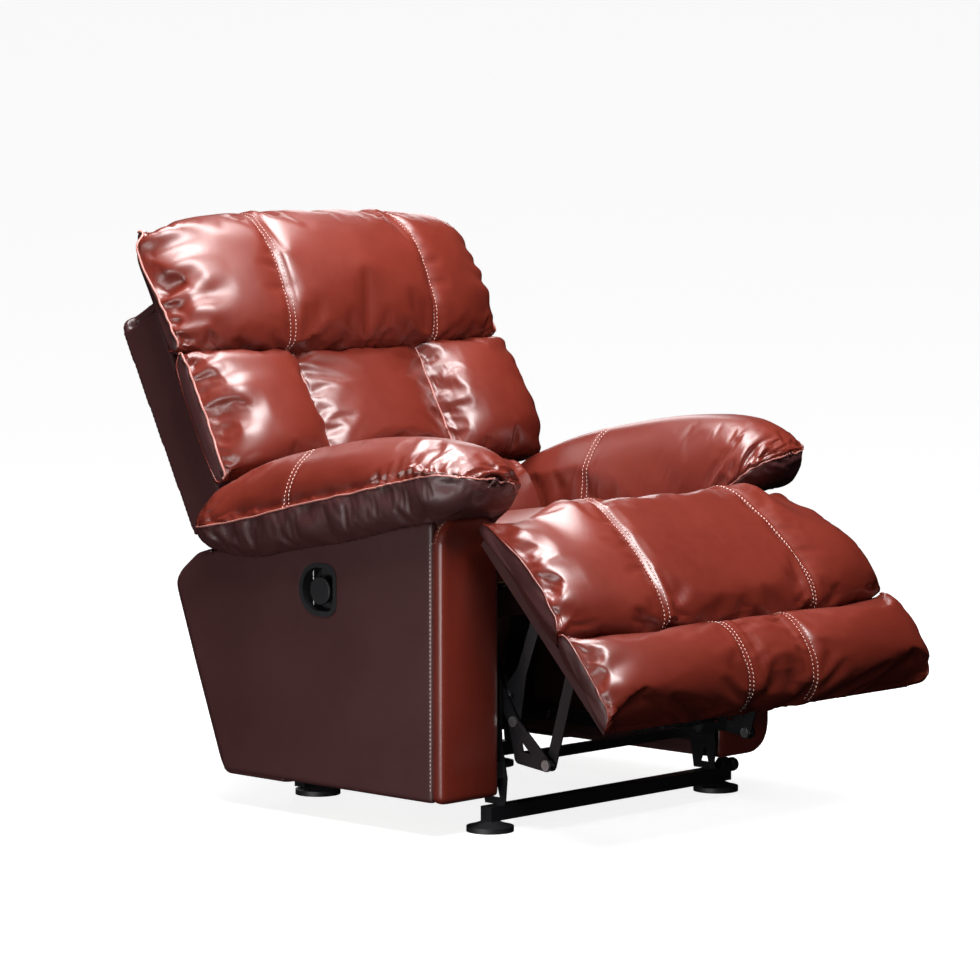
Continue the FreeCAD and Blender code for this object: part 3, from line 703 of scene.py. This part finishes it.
class Wing(Cushion):
    """One wing, from the lumbar seam out to its piping on the given side."""

    def __init__(self, name, side):
        middle, half = (WING_SEAM + WING_HALF) / 2, (WING_HALF - WING_SEAM) / 2
        places = gathered_fractions(81)
        if side < 0:
            places = -places[::-1]
        super().__init__(name, "back", on_back, places, lambda share: wing_outline(share * side),
                         lambda y, z: half, WING_REAR)
        shifted = places_of(self.piece)
        shifted[:, 0] += side * middle * MM
        put_places(self.piece, shifted)


for side, hand, seed in ((-1, "right", 31), (1, "left", 47)):
    wing = Wing("wing_cover_" + hand, side)
    puff(wing.piece, wing.pinned(WING_REAR), pressure=3.0)
    outer_end, inner_end = (0, -1) if side < 0 else (-1, 0)
    deep = 0.013 if side < 0 else 0.008
    for end, spacing, depth, length in ((outer_end, 0.031, deep, 0.130), (inner_end, 0.034, 0.009, 0.075)):
        chance = np.random.default_rng(seed + end)
        along, away = wing.from_side(end)
        wing.raise_by(gathers(chance, along, away, along[end, 4 * EACH], along[end, 12 * EACH],
                              spacing, depth, length))
    line, lift = wing.line(side, range(4 * EACH, 12 * EACH + 3))
    welt("wing_piping_" + hand, line + lift * 0.001, "back")
    line, lift = wing.line(-side, range(4 * EACH, 12 * EACH))
    welt("lumbar_seam_piping_" + hand, line + np.array([0, 0, 0.0015]) + lift * 0.0006, "back", radius=0.0018)
    line, lift = wing.line(side, WING_REAR)
    welt("wing_rear_welt_" + hand, line + lift * 0.0005, "back", THIN_PIPING, glazed_hide)
    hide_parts("wing_cushion_" + hand)
lumbar = Cushion("lumbar_cover", "back", on_back, gathered_fractions(61), lumbar_outline,
                 lambda y, z: WING_SEAM)
puff(lumbar.piece, lumbar.pinned(WING_REAR), pressure=2.0)
for side, seed in ((0, 53), (-1, 59)):
    chance = np.random.default_rng(seed)
    along, away = lumbar.from_side(side)
    lumbar.raise_by(gathers(chance, along, away, along[side, 4 * EACH], along[side, 12 * EACH],
                            0.04, 0.003, 0.05))
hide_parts("lumbar_cushion")

# ---- Head pillow -------------------------------------------------------------------------------------
# A fibre-stuffed pillow across the top of the back. Its front is three panels joined by two lapped seams;
# piping joins them to a narrow side strip, where the fullness is gathered in.
HEAD_SEAM, HEAD_SAG, HEAD_CORNER, HEAD_TUCK = 0.45, 16.0, 24.0, 24
SEAM_WIDTH = 0.009
THREADS_BESIDE = (-0.0055, 0.0055)
HEAD_FULL = np.array([
    (34, 640), (66, 672), (74, 715), (52, 748), (4, 762), (-45, 757), (-88, 732), (-114, 688),
    (-122, 635), (-119, 580), (-108, 528), (-82, 492), (-46, 486), (0, 496), (30, 520), (34, 580)], float)
HEAD_EDGE = np.array([
    (14, 640), (17, 684), (14, 712), (6, 730), (-3, 741), (-11, 742), (-17, 730), (-10, 690),
    (-16, 640), (-23, 595), (-28, 550), (-31, 520), (-27, 508), (-14, 506), (0, 520), (10, 590)], float)


def smoothly(value, low, high):
    """0 below `low`, 1 above `high`, and smooth between."""
    share = np.clip((value - low) / (high - low), 0, 1)
    return share * share * (3 - 2 * share)


def lapped_seam(case, share, rows, depth=0.006):
    """A seam down the cover: a valley with a row of stitches beside it on each side."""
    station = case.station(share)
    across = np.linalg.norm(np.diff(case.grid(), axis=0), axis=2)
    run = np.concatenate([np.zeros((1, case.shape[1])), np.cumsum(across, axis=0)])
    distance = run - run[station]
    rows = np.asarray(rows) % case.shape[1]
    window = np.zeros(case.shape[1])
    window[rows] = np.sin(np.linspace(0, math.pi, len(rows))) ** 0.3
    case.raise_by(-depth * np.exp(-(np.abs(distance) / SEAM_WIDTH) ** 1.4) * window)
    grid, facing = case.grid(), case.facing()
    for number, offset in enumerate(THREADS_BESIDE):
        line, lift = [], []
        for row in rows[2:-2]:
            line.append([np.interp(offset, distance[:, row], grid[:, row, k]) for k in range(3)])
            lift.append([np.interp(offset, distance[:, row], facing[:, row, k]) for k in range(3)])
        stitch_row("%s_stitches_%d_%d" % (case.name, station, number), line, lift, case.body)


def head_outline(share):
    fill = (1 - abs(share) ** 2.8) ** 0.56
    outline = HEAD_EDGE + (HEAD_FULL - HEAD_EDGE) * fill
    outline[:, 1] -= HEAD_SAG * (1 - share ** 2) * (1 - smoothly(outline[:, 1], 495, 600))
    return outline


def head_half(y, z):
    """The pillow's half width, which draws in behind the piping and at the top corners."""
    tuck = BACK_HALF - HEAD_TUCK * smoothly(y, -10, 20)
    return tuck - HEAD_CORNER * smoothly(z, 680, 748) ** 2


head = Cushion("head_pillow_cover", "back", on_back, gathered_fractions(121, (-HEAD_SEAM, HEAD_SEAM)),
               head_outline, head_half, range(-3 * EACH - 2, 4 * EACH))
puff(head.piece, head.pinned(range(-4 * EACH, 3 * EACH), (-HEAD_SEAM, HEAD_SEAM)))
for side, seed, depth in ((0, 11, 0.013), (-1, 23, 0.007)):
    chance = np.random.default_rng(seed)
    along, away = head.from_side(side)
    head.raise_by(gathers(chance, along, away, along[side, 4 * EACH], along[side, 12 * EACH],
                          0.029, depth, 0.150))
for share in (-HEAD_SEAM, HEAD_SEAM):
    lapped_seam(head, share, range(3 * EACH, 12 * EACH))
for side, hand in ((-1.0, "right"), (1.0, "left")):
    line, lift = head.line(side, range(4 * EACH + 2, 12 * EACH + 1))
    welt("head_pillow_piping_" + hand, line + lift * 0.001, "back")
    line, lift = head.line(side, range(-3 * EACH, 3 * EACH))
    welt("head_pillow_rear_welt_" + hand, line + lift * 0.0005, "back", THIN_PIPING, glazed_hide)
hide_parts("head_pillow")

# ---- Arm pads ----------------------------------------------------------------------------------------
# A long pillow-top pad on each arm, overhanging the arm's outer side and its front. The top panel runs over
# and down the inside of the arm; a stitched seam joins it to the darker panel underneath.
PAD_START, PAD_END, PAD_TAIL = -82.0, 600.0, 515
PAD_MIDDLE = 377.0
CROSS_SEAM = 330.0
UNDER_ROW = 9 * EACH
ON_ARM, TIP_END = 10, 60
PAD_TOP = ((-106, 634), (-40, 646), (40, 655), (141, 652), (285, 631), (408, 603), (521, 560), (620, 512))
PAD_SEAM = ((-106, 600), (-45, 609), (51, 595), (169, 568), (289, 543), (412, 513), (526, 490), (620, 478))
PAD_UNDER = ((-106, 560), (-46, 545), (0, 532), (69, 515), (186, 486), (307, 464), (456, 441), (519, 446),
             (620, 462))


PAD_INNER = ((-106, 596), (-60, 572), (-20, 544), (10, 520), (50, 474), (110, 446), (300, 440), (620, 425))


def between(pairs, value):
    """A smooth curve through (place, height) pairs, read at `value`."""
    places, heights = np.array(pairs, float).T
    slopes = np.gradient(heights, places)
    value = np.clip(value, places[0], places[-1])
    index = np.clip(np.searchsorted(places, value) - 1, 0, len(places) - 2)
    step = places[index + 1] - places[index]
    t = (value - places[index]) / step
    return (heights[index] * (1 + 2 * t) * (1 - t) ** 2 + slopes[index] * step * t * (1 - t) ** 2
            + heights[index + 1] * t * t * (3 - 2 * t) - slopes[index + 1] * step * t * t * (1 - t))


def pad_fade(y):
    """How far the pad's section has opened out: 0 at its tip and its rear end."""
    front = np.clip((-10 - y) / (-10 - PAD_START), 0, 1)
    rear = np.clip((y - PAD_TAIL) / (PAD_END - PAD_TAIL), 0, 1)
    return math.sqrt(max(1 - front ** 2, 0)) * math.sqrt(max(1 - rear ** 2.2, 0))


def pad_section(y):
    """The pad's section at y behind the arm's front, from the outer seam over the top."""
    fade = pad_fade(y)
    lines = (PAD_TOP, PAD_SEAM, PAD_UNDER, PAD_INNER)
    top, seam, under, inner = (float(between(pairs, y)) for pairs in lines)
    arm = 530 - 0.161 * max(y, 0)
    covered = float(smoothly(y, 4, 40))
    rise, fall = top - seam, seam - under
    middle = under + (arm - 14 - under) * covered
    inner_x = 282 + 4 * covered
    corners = [
        (462, seam), (464, seam + rise * 0.30), (450, seam + rise * 0.66), (425, seam + rise * 0.93),
        (384, top), (344, top - rise * 0.10), (310, top - rise * 0.45 - 6), (288, (top + inner) / 2),
        (280, inner + (top - inner) * 0.2), (inner_x, inner),
        (300, middle + (inner - middle) * 0.5 - 4 * (1 - covered)),
        (345, middle), (400, middle), (424, under + fall * 0.30 * covered), (438, under),
        (458, under + fall * 0.35)]
    centre = np.array([PAD_MIDDLE, seam + (600 - seam) * float(smoothly(-y, 20, 100))])
    return centre + (np.array(corners) - centre) * max(fade, 0.02)


class ArmPad(Cushion):
    """The grid of an arm pad runs along the arm instead of across the chair."""

    def __init__(self, hand, sign):
        self.name, self.body = "arm_pad_cover_" + hand, "base"
        share = np.linspace(0, 1, 170)
        self.fractions = PAD_START + (PAD_END - PAD_START) * share ** 1.5
        rings = []
        for y in self.fractions:
            loop = closed_curve(pad_section(y), AROUND)
            rings.append(np.column_stack([loop[:, 0] * sign, np.full(AROUND, y), loop[:, 1]]))
        self.shape = (len(self.fractions), AROUND)
        self.piece = sewn_case(self.name, laid(np.asarray(rings), on_base), "base", 0.001)
        reline(self.piece, *self.shape, range(UNDER_ROW, AROUND))

    def from_row(self, row, direction):
        """Distance round each ring from a row of the grid, one way, and along the row."""
        turned = np.roll(self.grid(), -row, axis=1)
        if direction < 0:
            turned = np.roll(turned[:, ::-1], 1, axis=1)
        steps = np.linalg.norm(np.diff(turned, axis=1), axis=2)
        away = np.concatenate([np.zeros((self.shape[0], 1)), np.cumsum(steps, axis=1)], axis=1)
        if direction < 0:
            away = np.roll(away, -1, axis=1)[:, ::-1]
        away = np.roll(away, row, axis=1)
        return np.broadcast_to(ring_lengths(self.grid()[:, row])[:, None], self.shape), away

    def row(self, row, stations=None):
        """A row of the grid along the arm: its places and the way the cover faces there."""
        return self.grid()[:stations, row], self.facing()[:stations, row]


for hand, sign, seed in (("right", -1, 71), ("left", 1, 83)):
    pad = ArmPad(hand, sign)
    held = np.zeros(pad.shape, bool)
    held[pad.fractions > ON_ARM, UNDER_ROW:14 * EACH] = True
    held[:, [0, UNDER_ROW]] = True
    held[:3] = held[-3:] = True
    puff(pad.piece, pad.held_and_ends(held), pressure=2.5, limit=0.008)
    chance = np.random.default_rng(seed)
    for row, way, start, end, spacing, depth, length in (
            (0, 1, 0.0, 0.26, 0.014, 0.0065, 0.060), (0, 1, 0.20, 0.62, 0.052, 0.0055, 0.070),
            (0, -1, 0.0, 0.62, 0.050, 0.0070, 0.090), (UNDER_ROW, -1, 0.0, 0.15, 0.017, 0.0080, 0.085),
            (UNDER_ROW, 1, 0.0, 0.11, 0.018, 0.0035, 0.050)):
        along, away = pad.from_row(row, way)
        rise = gathers(chance, along, away, start, end, spacing, depth, length)
        pad.raise_by(rise * (away < 0.12))
    cross = pad.station(CROSS_SEAM)
    facing = pad.facing()
    away = np.abs(pad.fractions - pad.fractions[cross])[:, None] * MM
    pad.raise_by(-0.003 * np.exp(-(away / 0.006) ** 2) * (np.arange(AROUND) < UNDER_ROW))
    for number, step in enumerate((-1, 1)):
        line, lift = pad.grid()[cross + step, :UNDER_ROW], facing[cross + step, :UNDER_ROW]
        stitch_row("arm_pad_stitches_%s_%d" % (hand, number), line, lift, "base")
    line, lift = pad.row(0)
    welt("arm_pad_seam_" + hand, line + lift * 0.0006, "base", THIN_PIPING)
    line, lift = pad.row(UNDER_ROW, int(np.flatnonzero(pad.fractions < TIP_END)[-1]))
    welt("arm_pad_front_seam_" + hand, line + lift * 0.0006, "base", THIN_PIPING)
    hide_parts("arm_pad_" + hand)

# ---- Footrest pads -----------------------------------------------------------------------------------
# Two foam-filled pads on the footrest board: a deep one for the calves and a roll for the heels that wraps
# the board's front edge. Twin-needle seams divide each into three.
BOARD_SLOPE = 41.6
BOARD_END = (0.0, FRONT - 0.030, 0.500)
on_board = Matrix.Translation(BOARD_END) @ Matrix.Rotation(math.radians(BOARD_SLOPE), 4, "X")
REAR_HALF, WIDE_HALF, SPREAD_END, UNDER_TUCK = 369.0, 413.0, 256.0, 26
PIPING_LINE = ((-430, 10), (-415, 24), (-256, 52), (-130, 60), (0, 26), (10, 20))
UPPER_FULL = np.array([
    (-100, 1), (-30, 1), (2, 8), (9, 34), (4, 64), (-12, 86), (-45, 98), (-90, 104), (-135, 107),
    (-182, 105), (-228, 96), (-260, 78), (-266, 56), (-258, 26), (-240, 4), (-180, 1)], float)
UPPER_SIDE = np.array([
    (-100, 1), (-30, 1), (2, 6), (8, 20), (5, 38), (-10, 52), (-45, 68), (-90, 88), (-135, 103),
    (-182, 106), (-228, 95), (-256, 74), (-262, 50), (-256, 26), (-240, 4), (-180, 1)], float)
UPPER_EDGE = np.array([
    (-100, 4), (-30, 4), (2, 8), (7, 18), (4, 28), (-10, 35), (-45, 44), (-90, 55), (-135, 62),
    (-180, 64), (-222, 60), (-248, 54), (-256, 46), (-254, 26), (-240, 8), (-180, 4)], float)
LOWER_ROLL = np.array([
    (-330, 1), (-285, 1), (-262, 6), (-258, 28), (-260, 54), (-272, 76), (-298, 88), (-335, 90),
    (-372, 84), (-404, 70), (-426, 48), (-434, 22), (-432, -4), (-425, -10), (-422, 0), (-390, 1)], float)
ROLL_EDGE = np.array([
    (-330, 4), (-285, 4), (-264, 8), (-259, 26), (-260, 46), (-270, 54), (-298, 54), (-335, 48),
    (-372, 41), (-404, 34), (-420, 27), (-426, 16), (-427, 2), (-424, -6), (-421, 2), (-390, 4)], float)
UPPER_SEAM, ROLL_SEAM = 0.46, 0.20
CREASE_SAG = 24.0


def board_half(y, z):
    """Half the footrest's width, which tucks in under the piping."""
    below = between(PIPING_LINE, y) - z
    width = REAR_HALF + (WIDE_HALF - REAR_HALF) * np.clip(-y / SPREAD_END, 0, 1)
    return width - UNDER_TUCK * smoothly(below, 2, 48)


def upper_outline(share):
    side = smoothly(abs(share), 0.60, 0.80)
    fill = (1 - abs(share) ** 7) ** 0.5
    full = UPPER_FULL + (UPPER_SIDE - UPPER_FULL) * side
    outline = UPPER_EDGE + (full - UPPER_EDGE) * fill
    outline[:, 0] -= CREASE_SAG * (1 - share ** 2) * smoothly(-outline[:, 0], 150, 256)
    return outline


def roll_outline(share):
    outline = ROLL_EDGE + (LOWER_ROLL - ROLL_EDGE) * (1 - abs(share) ** 6) ** 0.5
    outline[:, 0] -= CREASE_SAG * (1 - share ** 2) * (1 - smoothly(-outline[:, 0], 258, 380))
    return outline


upper_pad = Cushion("footrest_upper_cover", "footrest", on_board,
                    gathered_fractions(121, (-UPPER_SEAM, UPPER_SEAM)), upper_outline, board_half)
puff(upper_pad.piece, upper_pad.pinned(range(-2 * EACH, 3 * EACH), (-UPPER_SEAM, UPPER_SEAM)), pressure=2.0,
     limit=0.008)
roll = Cushion("footrest_lower_cover", "footrest", on_board,
               gathered_fractions(121, (-ROLL_SEAM, ROLL_SEAM)), roll_outline, board_half)
puff(roll.piece, roll.pinned(range(-3 * EACH, 3 * EACH), (-ROLL_SEAM, ROLL_SEAM)), pressure=2.5, limit=0.010)
for pad, seed in ((upper_pad, 101), (roll, 131)):
    for side, depth in ((0, 0.008), (-1, 0.004)):
        chance = np.random.default_rng(seed + side)
        along, away = pad.from_side(side)
        pad.raise_by(gathers(chance, along, away, along[side, 4 * EACH], along[side, 12 * EACH],
                             0.036, depth, 0.085))
for share in (-UPPER_SEAM, UPPER_SEAM):
    lapped_seam(upper_pad, share, range(4 * EACH, 13 * EACH), depth=0.004)
for share in (-ROLL_SEAM, ROLL_SEAM):
    lapped_seam(roll, share, range(4 * EACH, 12 * EACH), depth=0.005)
for side, hand in ((-1.0, "right"), (1.0, "left")):
    for pad, name, last in ((upper_pad, "upper", 12), (roll, "lower", 11)):
        line, lift = pad.line(side, range(4 * EACH, last * EACH + 1))
        welt("footrest_%s_piping_%s" % (name, hand), line + lift * 0.001, "footrest", 0.0018, glazed_hide)
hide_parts("footrest_upper_pad")
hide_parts("footrest_lower_pad")

# ---- Room --------------------------------------------------------------------------------------------
# A pale seamless floor swept up all round, one large softbox high in front of the chair, one overhead, a
# weak one behind and a long low one that fills the shadows of its right side.
SWEEP = ((4.5, 0), (6, 0.12), (7.5, 0.5), (9, 1.2), (10.4, 2.3), (11.5, 3.8), (12.3, 5.8), (12.8, 8.5),
         (13, 18))
SWEEP_SIDES = 72
verts = []
for radius, height in SWEEP:
    for step in range(SWEEP_SIDES):
        angle = 2 * math.pi * step / SWEEP_SIDES
        verts.append((radius * math.cos(angle), radius * math.sin(angle), height))
faces = [tuple(range(SWEEP_SIDES))]
faces += [quad[::-1] for quad in ring_faces(len(SWEEP), SWEEP_SIDES)]
mesh = bpy.data.meshes.new("seamless_floor")
mesh.from_pydata(verts, [], faces)
mesh.polygons.foreach_set("use_smooth", [True] * len(mesh.polygons))
floor = bpy.data.objects.new("seamless_floor", mesh)
bpy.context.scene.collection.objects.link(floor)
paper = Finish("paper", Base_Color=(0.5, 0.5, 0.5, 1), Roughness=0.9, Emission_Color=(1, 1, 1, 1),
               Emission_Strength=0.86)
mesh.materials.append(paper.material)
floor.visible_diffuse = floor.visible_glossy = False


def softbox(name, place, target, size, watts):
    light = bpy.data.lights.new(name, "AREA")
    light.shape, light.size, light.size_y = "RECTANGLE", *size
    light.energy = watts
    holder = bpy.data.objects.new(name, light)
    holder.location = place
    holder.rotation_euler = (Vector(target) - Vector(place)).to_track_quat("-Z", "Y").to_euler()
    bpy.context.scene.collection.objects.link(holder)


softbox("key", (-0.9, -1.5, 3.0), (0, -0.1, 0.6), (1.5, 1.2), 170)
softbox("overhead", (-0.1, 0.5, 3.0), (0, 0, 0.5), (1.8, 1.2), 120)
softbox("rim", (2.6, 2.6, 1.9), (0, 0, 0.7), (1.0, 1.4), 12)
softbox("bounce", (-3.0, -0.6, 0.12), (0, 0, 0.4), (2.6, 0.5), 55)
world = bpy.data.worlds.new("studio")
bpy.context.scene.world = world
world.use_nodes = True
background = world.node_tree.nodes["Background"]
background.inputs["Color"].default_value = (1, 1, 1, 1)
background.inputs["Strength"].default_value = 0.10
world.cycles_visibility.glossy = False
bpy.context.scene.view_settings.view_transform = "Standard"

CAMERA_DROP, CAMERA_TURN = 4.96, 46.27
camera_data = bpy.data.cameras.new("camera")
camera_data.lens, camera_data.sensor_width = 145.4, 36.0
camera_data.clip_end = 60
camera = bpy.data.objects.new("camera", camera_data)
camera.location = (-5.02, -4.7464, 1.14)
camera.rotation_euler = (math.radians(90 - CAMERA_DROP), 0, math.radians(-CAMERA_TURN))
bpy.context.scene.collection.objects.link(camera)
bpy.context.scene.camera = camera
